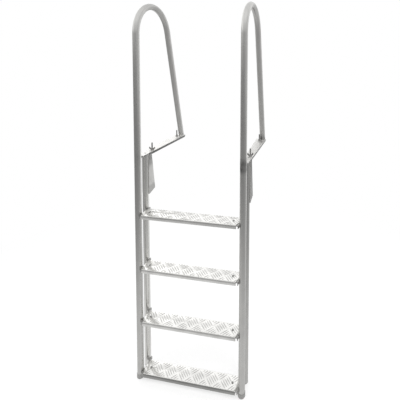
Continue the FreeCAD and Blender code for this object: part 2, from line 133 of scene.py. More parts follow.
def ringAngles(count):
    return np.linspace(0, 2 * np.pi, count, endpoint=False)


def sweepRings(centres, firstAxis, secondAxis, radius, count):
    # Circle carried along a line: centre + radius * (cos a * firstAxis + sin a * secondAxis).
    a = ringAngles(count)[None, :, None]
    radius = np.broadcast_to(radius, (len(centres), count))[..., None]
    first, second = (np.broadcast_to(axis, centres.shape)[:, None, :] for axis in (firstAxis, secondAxis))
    return centres[:, None, :] + radius * (np.cos(a) * first + np.sin(a) * second)


def turnedRings(profile, count, centre=(0, 0, 0)):
    # Profile of (radius, height) pairs turned about an upright axis: (r cos a, r sin a, height).
    a = ringAngles(count)
    profile = np.asarray(profile, float)
    r = profile[:, 0, None]
    x, y = r * np.cos(a), r * np.sin(a)
    z = np.broadcast_to(profile[:, 1, None], x.shape)
    return np.stack([x, y, z], -1) + np.asarray(centre, float)


def arcPoints(cx, cy, radius, start, end, count):
    # Centre + radius * (cos a, sin a), with a running from start to end in degrees.
    a = np.radians(np.linspace(start, end, count))
    return np.stack([cx + radius * np.cos(a), cy + radius * np.sin(a)], -1)


def newGroup(name, inputs, outputs):
    group = bpy.data.node_groups.new(name, "ShaderNodeTree")
    for label, kind, value in inputs:
        socket = group.interface.new_socket(name=label, in_out="INPUT", socket_type="NodeSocket" + kind)
        if value is not None:
            socket.default_value = value
    for label in outputs:
        group.interface.new_socket(name=label, in_out="OUTPUT", socket_type="NodeSocketFloat")
    return group, group.nodes.new("NodeGroupInput"), group.nodes.new("NodeGroupOutput")


def addNode(tree, kind, settings=None, links=None):
    # A setting is a property of the node where it has one of that name, and otherwise an input's value.
    node = tree.nodes.new("ShaderNode" + kind)
    for key, value in (settings or {}).items():
        if isinstance(key, str) and hasattr(node, key):
            setattr(node, key, value)
        else:
            node.inputs[key].default_value = value
    for key, source in (links or {}).items():
        tree.links.new(source, node.inputs[key])
    return node


def feed(tree, socket, value):
    # A number is set on the socket, and another node's output is linked to it.
    if isinstance(value, (int, float)):
        socket.default_value = value
    elif value is not None:
        tree.links.new(value, socket)


def mathNode(tree, operation, first, second=None, clamp=False):
    node = tree.nodes.new("ShaderNodeMath")
    node.operation = operation
    node.use_clamp = clamp
    feed(tree, node.inputs[0], first)
    feed(tree, node.inputs[1], second)
    return node.outputs[0]


def plus(tree, first, second, clamp=False):
    return mathNode(tree, "ADD", first, second, clamp)


def minus(tree, first, second):
    return mathNode(tree, "SUBTRACT", first, second)


def times(tree, first, second):
    return mathNode(tree, "MULTIPLY", first, second)


def rampNode(tree, value, low, high, atLow=0.0, atHigh=1.0):
    # Smooth step from atLow to atHigh while the value goes from low to high.
    node = addNode(tree, "MapRange", {"interpolation_type": "SMOOTHSTEP"}, {"Value": value})
    for label, end in (("From Min", low), ("From Max", high), ("To Min", atLow), ("To Max", atHigh)):
        feed(tree, node.inputs[label], end)
    return node.outputs["Result"]


# Fine streaks left by drawing or rolling: noise stretched along one direction of the vector, 60% of it
# fine and 40% of it wide.
streakGroup, streakIn, streakOut = newGroup(
    "rollingStreaks",
    [("Vector", "Vector", None), ("Stretch", "Vector", (900.0, 6.0, 900.0))],
    ["Streak", "Height"],
)
tree = streakGroup
stretched = addNode(tree, "VectorMath", {"operation": "MULTIPLY"},
                    {0: streakIn.outputs["Vector"], 1: streakIn.outputs["Stretch"]})
fineStreak = addNode(tree, "TexNoise", {"Scale": 1.0, "Detail": 3.0, "Roughness": 0.6},
                     {"Vector": stretched.outputs[0]})
wideVector = addNode(tree, "VectorMath", {"operation": "SCALE", "Scale": 0.17},
                     {0: stretched.outputs[0]})
wideStreak = addNode(tree, "TexNoise", {"Scale": 1.0, "Detail": 2.0},
                     {"Vector": wideVector.outputs[0]})
streakSum = plus(tree, times(tree, fineStreak.outputs["Fac"], 0.6),
                 times(tree, wideStreak.outputs["Fac"], 0.4))
tree.links.new(streakSum, streakOut.inputs["Streak"])
tree.links.new(fineStreak.outputs["Fac"], streakOut.inputs["Height"])

# Handling marks: soft blotches where the metal has been touched and dried, and a few thin scratches,
# which are the places where another noise passes 0.5.
marksGroup, marksIn, marksOut = newGroup(
    "handlingMarks",
    [("Vector", "Vector", None), ("Size", "Float", 14.0)],
    ["Blotch", "Scratch"],
)
tree = marksGroup
blotch = addNode(tree, "TexNoise", {"Detail": 5.0, "Roughness": 0.62, "Distortion": 0.4},
                 {"Vector": marksIn.outputs["Vector"], "Scale": marksIn.outputs["Size"]})
scratchField = addNode(tree, "TexNoise", {"Scale": 55.0, "Detail": 1.0, "Distortion": 2.2},
                       {"Vector": marksIn.outputs["Vector"]})
fromMiddle = mathNode(tree, "ABSOLUTE", minus(tree, scratchField.outputs["Fac"], 0.5))
thinLine = rampNode(tree, fromMiddle, 0.0, 0.006, 1.0, 0.0)
patchy = rampNode(tree, blotch.outputs["Fac"], 0.5, 0.6)
tree.links.new(rampNode(tree, blotch.outputs["Fac"], 0.38, 0.68), marksOut.inputs["Blotch"])
tree.links.new(times(tree, thinLine, patchy), marksOut.inputs["Scratch"])

# Weld tint and painted shade: a dull band round a level near the deck plate, where welds sit and where the
# plate's shadow and dark reflection are painted in, broken up by noise. Left is its share on the left side of
# the ladder, and Outward its share on the outer half of the right tube, both set by where the shade falls.
tintAndShadeGroup, tintAndShadeIn, tintAndShadeOut = newGroup(
    "weldTintAndPaintedShade",
    [("Vector", "Vector", None), ("Level", "Float", 0.0), ("Reach", "Float", 0.04),
     ("Outward", "Float", 0.4), ("Left", "Float", 0.2)],
    ["Tint"],
)
tree = tintAndShadeGroup
tintAndShadePlace = addNode(tree, "SeparateXYZ", None, {0: tintAndShadeIn.outputs["Vector"]})
tintAndShadeX = tintAndShadePlace.outputs["X"]
tintAndShadeOff = mathNode(tree, "ABSOLUTE", minus(tree, tintAndShadePlace.outputs["Z"], tintAndShadeIn.outputs["Level"]))
tintAndShadeNear = rampNode(tree, mathNode(tree, "DIVIDE", tintAndShadeOff, tintAndShadeIn.outputs["Reach"]),
                    0.25, 1.0, 1.0, 0.0)
tintAndShadeNoise = addNode(tree, "TexNoise", {"Scale": 38.0, "Detail": 3.0},
                    {"Vector": tintAndShadeIn.outputs["Vector"]})
tintAndShadeBroken = rampNode(tree, tintAndShadeNoise.outputs["Fac"], 0.3, 0.6, 0.55, 1.0)
paintedSideShade = rampNode(tree, tintAndShadeX, railX["left"], midX, tintAndShadeIn.outputs["Left"], 1.0)
paintedHalfShade = rampNode(tree, tintAndShadeX, railX["right"] - 0.006, railX["right"] + 0.010,
                    1.0, tintAndShadeIn.outputs["Outward"])
tintAndShadeAll = times(tree, times(tree, tintAndShadeNear, tintAndShadeBroken), times(tree, paintedSideShade, paintedHalfShade))
tree.links.new(tintAndShadeAll, tintAndShadeOut.inputs["Tint"])

metalTint = (1.0, 0.994, 0.970)  # every shade below is a grey turned a little warm
footShadeBlend = 0.010  # the channel's painted foot shade blends over this length to each side
treadPitch = treadTop[1] - treadTop[2]
# depths and heights for the painted shade along the tread folds and the painted lightening up the treads
paintedFoldLine = {"from": 0.004, "to": 0.012, "below": 1.05, "lightFrom": treadTop[3] + 0.1}
bendBlend, legBlend = 0.24, 0.16  # lengths over which the bend's and the leg's tones come in
bumpHeight = 0.0004


def metalMaterial(name, finish):
    # Colour = shade * tint * tone. The tone is 1 + streaks - blotches + scratches, times weld tint and
    # painted shade near the plate, painted shade along folds and on the channel's foot, and painted bend
    # shade and leg light where a finish has them. The roughness follows the same streaks and blotches.
    material = bpy.data.materials.new(name)
    material.use_nodes = True
    tree = material.node_tree
    shader = tree.nodes["Principled BSDF"]
    shader.inputs["Metallic"].default_value = finish.get("metallic", 1.0)
    shader.inputs["IOR"].default_value = 1.5
    place = addNode(tree, "TexCoord")
    objectSpace = place.outputs["Object"]
    vector = place.outputs["UV"] if finish.get("alongPiece") else objectSpace
    height = addNode(tree, "SeparateXYZ", None, {0: objectSpace}).outputs["Z"]
    streaks = addNode(tree, "Group", {"node_tree": streakGroup}, {"Vector": vector})
    streaks.inputs["Stretch"].default_value = finish["stretch"]
    marks = addNode(tree, "Group", {"node_tree": marksGroup}, {"Vector": objectSpace})
    marks.inputs["Size"].default_value = finish.get("blotchSize", 14.0)

    def dimmed(tone, share, amount):
        return times(tree, tone, minus(tree, 1.0, times(tree, share, amount)))

    unevenness = minus(tree, streaks.outputs["Streak"], 0.5)
    tone = plus(tree, 1.0, times(tree, unevenness, finish["streakTone"]))
    tone = minus(tree, tone, times(tree, marks.outputs["Blotch"], finish["blotchTone"]))
    tone = plus(tree, tone, times(tree, marks.outputs["Scratch"], finish["scratchTone"]))
    rough = plus(tree, finish["roughness"], times(tree, unevenness, finish["streakRough"]))
    rough = plus(tree, rough, times(tree, marks.outputs["Blotch"], finish["blotchRough"]), clamp=True)
    # a band near the deck plate: weld tint and painted shade
    if "heatLevel" in finish:
        heat = addNode(tree, "Group", {"node_tree": tintAndShadeGroup}, {"Vector": objectSpace})
        for label in ("Level", "Reach", "Outward", "Left"):
            heat.inputs[label].default_value = finish["heat" + label]
        tone = dimmed(tone, heat.outputs["Tint"], finish["heatTone"])
    if "paintedFoldShade" in finish:
        # painted shade along the fold of every tread, with a little painted light just below it, by the depth
        # below the tread tops, which repeat by the pitch; the lips are also painted lighter up the treads and
        # darker at the lowest
        below = mathNode(tree, "DIVIDE", minus(tree, treadTop[1], height), treadPitch)
        depth = times(tree, mathNode(tree, "FRACT", below), treadPitch)
        foldShade = rampNode(tree, depth, paintedFoldLine["from"], paintedFoldLine["to"], 1 - finish["paintedFoldShade"],
                        paintedFoldLine["below"])
        lowShade = rampNode(tree, height, treadTop[4], paintedFoldLine["lightFrom"], *finish["paintedLowShade"])
        tone = times(tree, times(tree, tone, foldShade), lowShade)
    if "paintedShadeBelow" in finish:
        # painted shade on the foot of the channel, from its lower bend down
        footShade = rampNode(tree, height, finish["paintedShadeBelow"] - footShadeBlend, finish["paintedShadeBelow"] + footShadeBlend,
                        1 - finish["paintedShadeTone"], 1.0)
        tone = times(tree, tone, footShade)
    if "legFrom" in finish:
        # the bend is painted dark as shade from its crest on, and the leg past it is brushed duller and
        # painted lighter;
        # the UV map's second number is the length along the tube
        length = addNode(tree, "SeparateXYZ", None, {0: vector}).outputs["Y"]
        leg = rampNode(tree, length, finish["legFrom"], finish["legFrom"] + legBlend)
        bendShade = minus(tree, rampNode(tree, length, finish["bendFrom"], finish["bendFrom"] + bendBlend), leg)
        tone = dimmed(dimmed(tone, bendShade, finish["bendPaintedShade"]), leg, -finish["legPaintedLight"])
        rough = plus(tree, rough, times(tree, leg, finish["legRough"]), clamp=True)
    colour = addNode(tree, "VectorMath",
                     {"operation": "SCALE", 0: [finish["shade"] * part for part in metalTint]},
                     {"Scale": tone})
    bump = addNode(tree, "Bump", {"Strength": finish["bump"], "Distance": bumpHeight},
                   {"Height": streaks.outputs["Height"]})
    tree.links.new(colour.outputs[0], shader.inputs["Base Color"])
    tree.links.new(rough, shader.inputs["Roughness"])
    tree.links.new(bump.outputs["Normal"], shader.inputs["Normal"])
    return material


# Finishes: each has the usual amounts except those that it, or its family, gives itself.
usual = {"streakTone": 0.16, "streakRough": 0.14, "blotchTone": 0.10, "blotchRough": 0.10,
         "scratchTone": 0.10, "bump": 0.08}
drawnTube = {"stretch": (900, 5, 900), "alongPiece": True, "streakTone": 0.22, "streakRough": 0.12,
             "blotchTone": 0.05, "blotchRough": 0.07, "bump": 0.10}
flatBar = {"stretch": (700, 6, 700), "blotchTone": 0.06, "blotchRough": 0.09}
foldedChannel = {"stretch": (600, 600, 7), "streakRough": 0.12, "blotchRough": 0.08,
                 "scratchTone": 0.12, "heatLevel": plateUnder, "heatOutward": 1.0, "heatLeft": 1.0}
turnedSteel = {"stretch": (400, 400, 60), "blotchTone": 0.12, "scratchTone": 0.08}
finishes = {
    # the tube's band near the deck plate is weld tint and painted shade, mostly on the right tube
    "tube": {**drawnTube, "shade": 0.60, "roughness": 0.27, "streakRough": 0.14,
             "heatLevel": 0.006, "heatReach": 0.048, "heatOutward": 0.70, "heatLeft": 0.12, "heatTone": 0.64,
             # the bend's tone is painted shade and the leg's is painted light
             "legFrom": 2.05, "legPaintedLight": 0.10, "legRough": 0.24, "bendFrom": 1.82, "bendPaintedShade": 0.40},
    # the left post is painted lighter and the right one darker: lit and shaded copies of one finish
    "post": {**drawnTube, "shade": 0.82, "roughness": 0.18},
    "postShadedRight": {**drawnTube, "shade": 0.55, "roughness": 0.24},
    # the right plate and the lighter left one are shaded and lit copies of one finish
    "plate": {**flatBar, "shade": 0.70, "roughness": 0.50},
    "plateLitLeft": {**flatBar, "shade": 0.84, "roughness": 0.50},
    "plateEdge": {"shade": 0.15, "roughness": 0.38, "stretch": (90, 90, 900),
                  "streakTone": 0.30, "blotchRough": 0.09, "scratchTone": 0.0, "bump": 0.15},
    "tread": {"shade": 0.79, "roughness": 0.17, "stretch": (6, 500, 500), "streakTone": 0.10,
              "streakRough": 0.08, "blotchTone": 0.07, "scratchTone": 0.08, "bump": 0.05},
    "bar": {"shade": 0.59, "roughness": 0.32, "stretch": (400, 400, 400), "streakRough": 0.12,
            "bump": 0.06},
    # lips: the tread's own sheet, rougher and painted darker as shade, with painted fold shade and painted
    # light up the treads
    "lip": {"shade": 0.60, "roughness": 0.34, "stretch": (5, 600, 600), "streakTone": 0.30,
            "blotchTone": 0.12, "blotchRough": 0.08, "paintedFoldShade": 0.30, "paintedLowShade": (0.62, 1.50)},
    # the left channel and the much darker right one are lit and shaded copies of one finish; the right one's
    # painted shade band under the plate reaches farther
    "channel": {**foldedChannel, "shade": 0.58, "roughness": 0.34, "heatReach": 0.085, "heatTone": 0.60,
                "paintedShadeBelow": channelFoot + 0.042, "paintedShadeTone": 0.26},
    "channelShadedRight": {**foldedChannel, "shade": 0.28, "roughness": 0.40, "heatReach": 0.12,
                     "heatTone": 0.40},
    "bracket": {"shade": 0.42, "roughness": 0.36, "stretch": (600, 7, 600), "streakTone": 0.18,
                "streakRough": 0.12, "blotchTone": 0.08, "blotchRough": 0.08},
    "weld": {"shade": 0.72, "roughness": 0.40, "stretch": (300, 300, 300), "streakTone": 0.25,
             "streakRough": 0.20, "blotchTone": 0.12, "scratchTone": 0.0, "bump": 0.25},
    "washer": {**turnedSteel, "shade": 0.68, "roughness": 0.34},
    "steel": {**turnedSteel, "shade": 0.36, "roughness": 0.30},
    "screw": {**turnedSteel, "shade": 0.32, "roughness": 0.36},
    "foot": {"shade": 0.32, "roughness": 0.52, "stretch": (160, 160, 160), "metallic": 0.0,
             "streakTone": 0.10, "streakRough": 0.10, "scratchTone": 0.12, "bump": 0.20,
             "blotchSize": 40.0},
}
metals = {name: metalMaterial("footPlastic" if name == "foot" else name + "Metal", {**usual, **finish})
          for name, finish in finishes.items()}
print("materials made:", len(metals))

softening = {"merge": 2e-6, "flatAngle": 0.6, "shortest": 1e-5, "segments": 2, "sharpAngle": 32.0}


def softenedCopy(name, node, width, material):
    # The node's own solid, merged and with its flat faces joined, and every sharp edge eased by a bevel.
    mesh = nodeObjects[node].data.copy()
    mesh.name = name
    form = bmesh.new()
    form.from_mesh(mesh)
    bmesh.ops.remove_doubles(form, verts=form.verts, dist=softening["merge"])
    bmesh.ops.dissolve_limit(form, angle_limit=math.radians(softening["flatAngle"]), verts=form.verts,
                             edges=form.edges)
    bmesh.ops.dissolve_degenerate(form, dist=softening["shortest"], edges=form.edges)
    bmesh.ops.recalc_face_normals(form, faces=form.faces)
    form.to_mesh(mesh)
    form.free()
    mesh.materials.clear()
    mesh.materials.append(material)
    mesh.polygons.foreach_set("use_smooth", [True] * len(mesh.polygons))
    mesh.polygons.foreach_set("material_index", [0] * len(mesh.polygons))
    piece = bpy.data.objects.new(name, mesh)
    bpy.context.collection.objects.link(piece)
    ease = piece.modifiers.new("easedEdges", "BEVEL")
    ease.width = width
    ease.segments = softening["segments"]
    ease.limit_method = "ANGLE"
    ease.angle_limit = math.radians(softening["sharpAngle"])
    ease.harden_normals = True
    return piece


def secondFinish(piece, material, chosen):
    # A second material for the faces that chosen picks out by their normals.
    piece.data.materials.append(material)
    normals = np.zeros(len(piece.data.polygons) * 3)
    piece.data.polygons.foreach_get("normal", normals)
    piece.data.polygons.foreach_set("material_index", chosen(normals.reshape(-1, 3)).astype(int))


def settle(piece, slotName, *replaced):
    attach(piece, "root")
    if replaced:
        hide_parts(*replaced)


# Handrail tubes: a circle carried up the front, round the loop and down the leaning leg to the deck plate.
handrail = {"around": 56, "bendRadius": 0.157, "lean": 15.15, "arcSteps": 56, "straightSteps": 10,
            "shortOfPlate": 0.001, "abovePlate": 0.0001, "lastLength": 0.01}
lean = math.radians(handrail["lean"])
xAxis, yAxis = (1.0, 0, 0), (0, 1.0, 0)


def handrailPath():
    # (distance behind the front leg, height): straight up, radius * (1 + cos a, sin a), down the leaning leg.
    radius = handrail["bendRadius"]
    count = handrail["straightSteps"]
    bendZ = tubeHigh[2] - tubeR - radius
    up = np.stack([np.zeros(count), np.linspace(footZ, bendZ, count, endpoint=False)], -1)
    turn = np.linspace(math.pi, lean, handrail["arcSteps"])
    arc = np.stack([radius + radius * np.cos(turn), bendZ + radius * np.sin(turn)], -1)
    run = (arc[-1, 1] - plateTop) / math.cos(lean) - tubeR * math.tan(lean) - handrail["shortOfPlate"]
    t = np.linspace(0, 1, count)[1:, None]
    leg = arc[-1] + t * run * np.array([math.sin(lean), -math.cos(lean)])
    return np.vstack([up, arc, leg])


def handrailTube(side):
    flat = handrailPath()
    step = np.gradient(flat, axis=0)
    tangent = np.stack([np.zeros(len(flat)), step[:, 0], step[:, 1]], -1)
    tangent /= np.linalg.norm(tangent, axis=1)[:, None]
    centres = np.stack([np.full(len(flat), railX[side]), flat[:, 0] + tubeY, flat[:, 1]], -1)
    rings = sweepRings(centres, xAxis, np.cross(tangent, xAxis), tubeR, handrail["around"])
    # the last ring runs on along the leg until it meets the level face of the plate
    rise = (plateTop + handrail["abovePlate"] - rings[-1][:, 2]) / tangent[-1][2]
    rings = np.concatenate([rings, (rings[-1] + tangent[-1] * rise[:, None])[None]])
    length = np.concatenate([[0], np.cumsum(np.linalg.norm(np.diff(flat, axis=0), axis=1))])
    length = np.append(length, length[-1] + handrail["lastLength"])
    faces, uv = tubeGrid(rings, 0, np.linspace(0, tubeGirth, handrail["around"] + 1), length)
    return makePiece(f"handrailTube_{side}", rings, faces, metals["tube"], uv)


rearPosts = {"around": 48, "levels": 12, "underTop": 0.0001, "left": "post", "right": "postShadedRight"}


def rearPost(side):
    # A circle carried straight up from the foot to just under the deck plate.
    z = np.linspace(footZ, postHigh[2] - rearPosts["underTop"], rearPosts["levels"])
    centres = np.stack([np.full(len(z), railX[side]), np.full(len(z), postY), z], -1)
    rings = sweepRings(centres, xAxis, yAxis, tubeR, rearPosts["around"])
    faces, uv = tubeGrid(rings, 0, np.linspace(0, tubeGirth, rearPosts["around"] + 1), z - z[0])
    return makePiece(f"rearPost_{side}", rings, faces, metals[rearPosts[side]], uv)


for side in sides:
    settle(handrailTube(side), "tube", f"handrail_tube_{side}")
    settle(rearPost(side), "post", f"rear_post_{side}")
print("handrail tubes and rear posts made")

# Plates and standoffs keep the shape of their solids, with eased edges; the plates' sawn edges are duller.
plateEasing = {"width": 0.0009, "left": "plateLitLeft", "right": "plate", "slot": "plate"}
easing = {"deck_plate": {**plateEasing, "name": "deckPlate"},
          "bearer_plate": {**plateEasing, "name": "bearerPlate"},
          "standoff": {"name": "standoffChannel", "width": 0.0008, "left": "channel",
                       "right": "channelShadedRight", "slot": "bracket"}}
sawnFacing = 0.92
for side in sides:
    for node, form in easing.items():
        piece = softenedCopy(f"{form['name']}_{side}", f"{node}_{side}", form["width"], metals[form[side]])
        if form["slot"] == "plate":
            secondFinish(piece, metals["plateEdge"], lambda n: np.abs(n[:, 0]) > sawnFacing)
        settle(piece, form["slot"], f"{node}_{side}")
print("plates and standoffs eased")

# Tread angles: an L outline with eased corners and a small inner fillet, carried back along the tread's end.
treadAngle = {"thick": 0.004, "corner": 0.0008, "fillet": 0.0022, "cornerSteps": 4, "filletSteps": 6,
              "lipRoom": 0.0035, "notchStep": 0.0001}


def treadAnglePiece(i, side):
    # Two rings of the whole L outline, then two of its upright leg alone, which passes the tread's back lip.
    p = treadAngle
    low, high = nodeBox(f"tread_bracket_{i}_{side}")
    thick, corner, fillet, count = p["thick"], p["corner"], p["fillet"], p["cornerSteps"]
    wide, drop = high[0] - low[0], high[2] - low[2]
    # outline in (distance from the tube side, depth below the top), round the level leg's tip and back
    outline = np.vstack([
        arcPoints(corner, -corner, corner, 180, 90, count),
        arcPoints(wide - corner, -corner, corner, 90, 0, count),
        arcPoints(wide - corner, corner - thick, corner, 0, -90, count),
        arcPoints(thick + fillet, -thick - fillet, fillet, 90, 180, p["filletSteps"]),
        arcPoints(thick - corner, corner - drop, corner, 0, -90, count),
        arcPoints(corner, corner - drop, corner, -90, -180, count)])
    tip = slice(count, 3 * count)
    level = slice(count, 3 * count + p["filletSteps"])
    upright = outline.copy()
    upright[tip] -= [wide - thick, 0]
    upright[level, 0] = np.minimum(upright[level, 0], thick)
    notchY = nodeBox(f"tread_{i}")[1][1] - p["lipRoom"]
    rows = [(outline, low[1]), (outline, notchY), (upright, notchY + p["notchStep"]), (upright, high[1])]
    start = high[0] if side == "right" else low[0]
    rings = np.array([np.stack([start + inward[side] * flat[:, 0], np.full(len(flat), y),
                                high[2] + flat[:, 1]], -1) for flat, y in rows])
    if side == "right":
        rings = rings[:, ::-1]
    return joinGrids(f"treadAngle_{i}_{side}", [rings], metals["bracket"], 40.0)


for side in sides:
    for i in steps:
        settle(treadAnglePiece(i, side), "bracket", f"tread_bracket_{i}_{side}")
print("tread angles made")

# Treads: the folded sheet keeps its solid, and its front and back lips get a rougher finish, painted darker
# as shade.
treadSheet = {"easedEdge": 0.0005, "lipFacing": 0.6, "cornerCut": (0.028, 0.008), "roundedEdge": 0.004}
for i in steps:
    piece = softenedCopy(f"treadSheet_{i}", f"tread_{i}", treadSheet["easedEdge"], metals["tread"])
    secondFinish(piece, metals["lip"], lambda n: np.abs(n[:, 1]) > treadSheet["lipFacing"])
    settle(piece, "tread", f"tread_{i}")

# Raised bars: five to a cell, cells set cornerwise, their direction changing from row to row.
barPattern = {"diagonal": 0.0758, "pitch": 0.0105, "halfLength": 0.0225, "halfWidth": 0.0030,
              "height": 0.0012, "edge": 0.0012, "shortest": 0.006, "sunk": 0.0003,
              "phase": {1: (0.020, 0.014), 2: (-0.012, 0.006), 3: (0.008, 0.021), 4: (-0.034, 0.012)},
              "stations": (-1, -0.93, -0.72, -0.38, 0, 0.38, 0.72, 0.93, 1),
              "across": (-1, -0.72, -0.34, 0.34, 0.72, 1.0),
              "arch": (-0.25, 0.62, 0.96, 0.96, 0.62, -0.25)}


def treadOutline(i):
    # Half planes (normal, reach) of the flat top, its clipped corners included, from its middle.
    low, high = nodeBox(f"tread_{i}")
    half = (high[0] - low[0]) / 2
    inset, cut = treadSheet["roundedEdge"], treadSheet["cornerCut"]
    front, back = low[1] + inset - tubeY, high[1] - inset - tubeY
    planes = [((1, 0), half), ((-1, 0), half), ((0, 1), back), ((0, -1), -front)]
    slope = np.array(cut) / math.hypot(*cut)
    for sx in (1, -1):
        planes.append(((sx * slope[0], slope[1]), half * slope[0] + (high[1] - tubeY - cut[0]) * slope[1]))
        planes.append(((sx * slope[0], -slope[1]), half * slope[0] - (low[1] - tubeY + cut[0]) * slope[1]))
    return np.array([p[0] for p in planes]), np.array([p[1] for p in planes])


def treadBars(i):
    # Each bar is a lens along t: half width * (1 - t^2)^0.6, height * (1 - t^2)^0.4, with an arch across it.
    # A bar that would pass the sheet's edge stops short of it, and one that gets too short is left out.
    p = barPattern
    x0, y0 = p["phase"][i]
    a, b = np.meshgrid(np.arange(-9, 10), np.arange(-3, 4), indexing="ij")
    keep = (a + b) % 2 == 0
    a, b = a[keep], b[keep]
    cell = np.stack([x0 + a * p["diagonal"] / 2, y0 + b * p["diagonal"] / 2], -1)
    turn = np.where(b % 2 == 0, -1.0, 1.0)
    along = np.stack([np.ones(len(turn)), turn], -1) / math.sqrt(2)
    normal = np.stack([-along[:, 1], along[:, 0]], -1)
    order = np.arange(-2, 3) * p["pitch"]
    centre = (cell[:, None] + order[None, :, None] * normal[:, None]).reshape(-1, 2)
    along = np.repeat(along, len(order), axis=0)
    normal = np.repeat(normal, len(order), axis=0)
    planes, reach = treadOutline(i)
    speed = along @ planes.T
    room = reach - p["edge"] - centre @ planes.T - p["halfWidth"] * np.abs(normal @ planes.T) * 0.7
    with np.errstate(divide="ignore", invalid="ignore"):
        limit = room / speed
    stop = np.where(speed > 1e-9, limit, np.inf).min(1)
    start = np.where(speed < -1e-9, limit, -np.inf).max(1)
    start, stop = np.maximum(start, -p["halfLength"]), np.minimum(stop, p["halfLength"])
    good = stop - start > p["shortest"]
    centre, along, normal, start, stop = centre[good], along[good], normal[good], start[good], stop[good]
    t = start[:, None] + (stop - start)[:, None] * (np.array(p["stations"]) / 2 + 0.5)
    lens = np.clip(1 - (t / p["halfLength"]) ** 2, 0.02, 1)
    across, arch = np.array(p["across"]), np.array(p["arch"])
    s = (p["halfWidth"] * lens ** 0.6)[..., None] * across
    z = np.where(arch > 0, (p["height"] * lens ** 0.4)[..., None] * arch, -p["sunk"])
    xy = (centre[:, None, None] + t[..., None, None] * along[:, None, None]
          + s[..., None] * normal[:, None, None])
    points = np.stack([xy[..., 0] + midX, xy[..., 1] + tubeY, z + treadTop[i]], -1)
    return points[:, :, ::-1]


for i in steps:
    bars = joinGrids(f"treadBars_{i}", list(treadBars(i)), metals["bar"], 60.0)
    settle(bars, "tread")
print("tread sheets and raised bars made")

# Weld beads: round fillets with overlapping ripples. The lines they follow lie on the seams of the nodes.
beads = {"radius": 0.0030, "ripple": 0.10, "pitch": 0.0038, "around": 12, "spacing": 0.0006, "skew": 0.55,
         "roundedEnd": 0.8, "tip": 1e-5, "smooth": 70.0}
welds = {"legFromBack": 0.022, "legLift": 0.0006, "legOut": 0.0012, "plateOff": 0.0004, "tubeOut": 0.001,
         "tubeSpan": (42, 138), "postSpan": (178, 362),
         "angleIn": 0.0158, "angleAside": 0.0085, "angleEnd": 0.0005, "angleRadius": 0.0020,
         "channelOut": 0.0181, "channelForward": 0.0008, "channelFoot": 0.004, "channelTop": 0.001,
         "channelFacing": -1.2, "channelRadius": 0.0016}


def beadRings(line, outwardAxis, radius):
    # Radius * (1 - ripple + 2 * ripple * |sin(pi * length / pitch + skew * cos a)|), rounded off at the ends.
    step = np.gradient(line, axis=0)
    tangent = step / np.linalg.norm(step, axis=1)[:, None]
    first = outwardAxis - (outwardAxis * tangent).sum(1)[:, None] * tangent
    first /= np.linalg.norm(first, axis=1)[:, None]
    length = np.concatenate([[0], np.cumsum(np.linalg.norm(np.diff(line, axis=0), axis=1))])
    a = ringAngles(beads["around"])
    wave = np.abs(np.sin(np.pi * length[:, None] / beads["pitch"] + beads["skew"] * np.cos(a)))
    r = radius * (1 - beads["ripple"] + 2 * beads["ripple"] * wave)
    toEnd = np.minimum(length, length[-1] - length)[:, None]
    r = r * np.clip(toEnd / (radius * beads["roundedEnd"]), 0.0, 1.0) ** 0.5 + beads["tip"]
    return sweepRings(line, first, np.cross(tangent, first), r, beads["around"])


def ringLine(x, y, z, radius, start, end, lengthen=1.0):
    # Level arc, radius * (cos a, lengthen * sin a) from its centre, with the outward direction at each point.
    count = int(abs(math.radians(end - start)) * radius / beads["spacing"])
    a = np.radians(np.linspace(start, end, count))
    line = np.stack([x + radius * np.cos(a), y + radius * lengthen * np.sin(a), np.full(count, z)], -1)
    return line, np.stack([np.cos(a), np.sin(a), np.zeros(count)], -1)


def uprightLine(x, y, low, high, outX, outY):
    count = int((high - low) / beads["spacing"])
    line = np.stack([np.full(count, x), np.full(count, y), np.linspace(low, high, count)], -1)
    return line, np.tile(np.array([outX, outY, 0.0]) / math.hypot(outX, outY), (count, 1))


def layBeads(name, lines, slotName, radius=beads["radius"]):
    ringSets = [beadRings(*line, radius) for line in lines]
    settle(joinGrids(name, ringSets, metals["weld"], beads["smooth"]), slotName)


for side in sides:
    x = railX[side]
    legY = nodeBox(f"deck_plate_{side}")[1][1] - welds["legFromBack"]
    around = tubeR + welds["tubeOut"]
    under = plateUnder - welds["plateOff"]
    lines = [ringLine(x, legY, plateTop + welds["legLift"], tubeR + welds["legOut"], 0, 360,
                      1 / math.cos(lean)),
             ringLine(x, tubeY, plateTop + welds["plateOff"], around, *welds["tubeSpan"]),
             ringLine(x, tubeY, under, around, *welds["tubeSpan"]),
             ringLine(x, postY, under, around, *welds["postSpan"])]
    layBeads(f"plateWelds_{side}", lines, "plate")

    angleX = x + inward[side] * welds["angleIn"]
    lines = []
    for i in steps:
        low, high = nodeBox(f"tread_bracket_{i}_{side}")
        bottom, top = low[2] + welds["angleEnd"], high[2] - welds["angleEnd"]
        for y in (tubeY, postY):
            for toBack in (-1.0, 1.0):
                seamY = y + toBack * welds["angleAside"]
                if low[1] < seamY < high[1]:
                    lines.append(uprightLine(angleX, seamY, bottom, top, inward[side], toBack))
    layBeads(f"bracketWelds_{side}", lines, "bracket", welds["angleRadius"])

    low, high = nodeBox(f"standoff_{side}")
    lines = [uprightLine(x + out * welds["channelOut"], postY - welds["channelForward"],
                         low[2] + welds["channelFoot"], high[2] - welds["channelTop"],
                         out, welds["channelFacing"]) for out in (-1, 1)]
    layBeads(f"channelWelds_{side}", lines, "post", welds["channelRadius"])
print("weld beads laid")

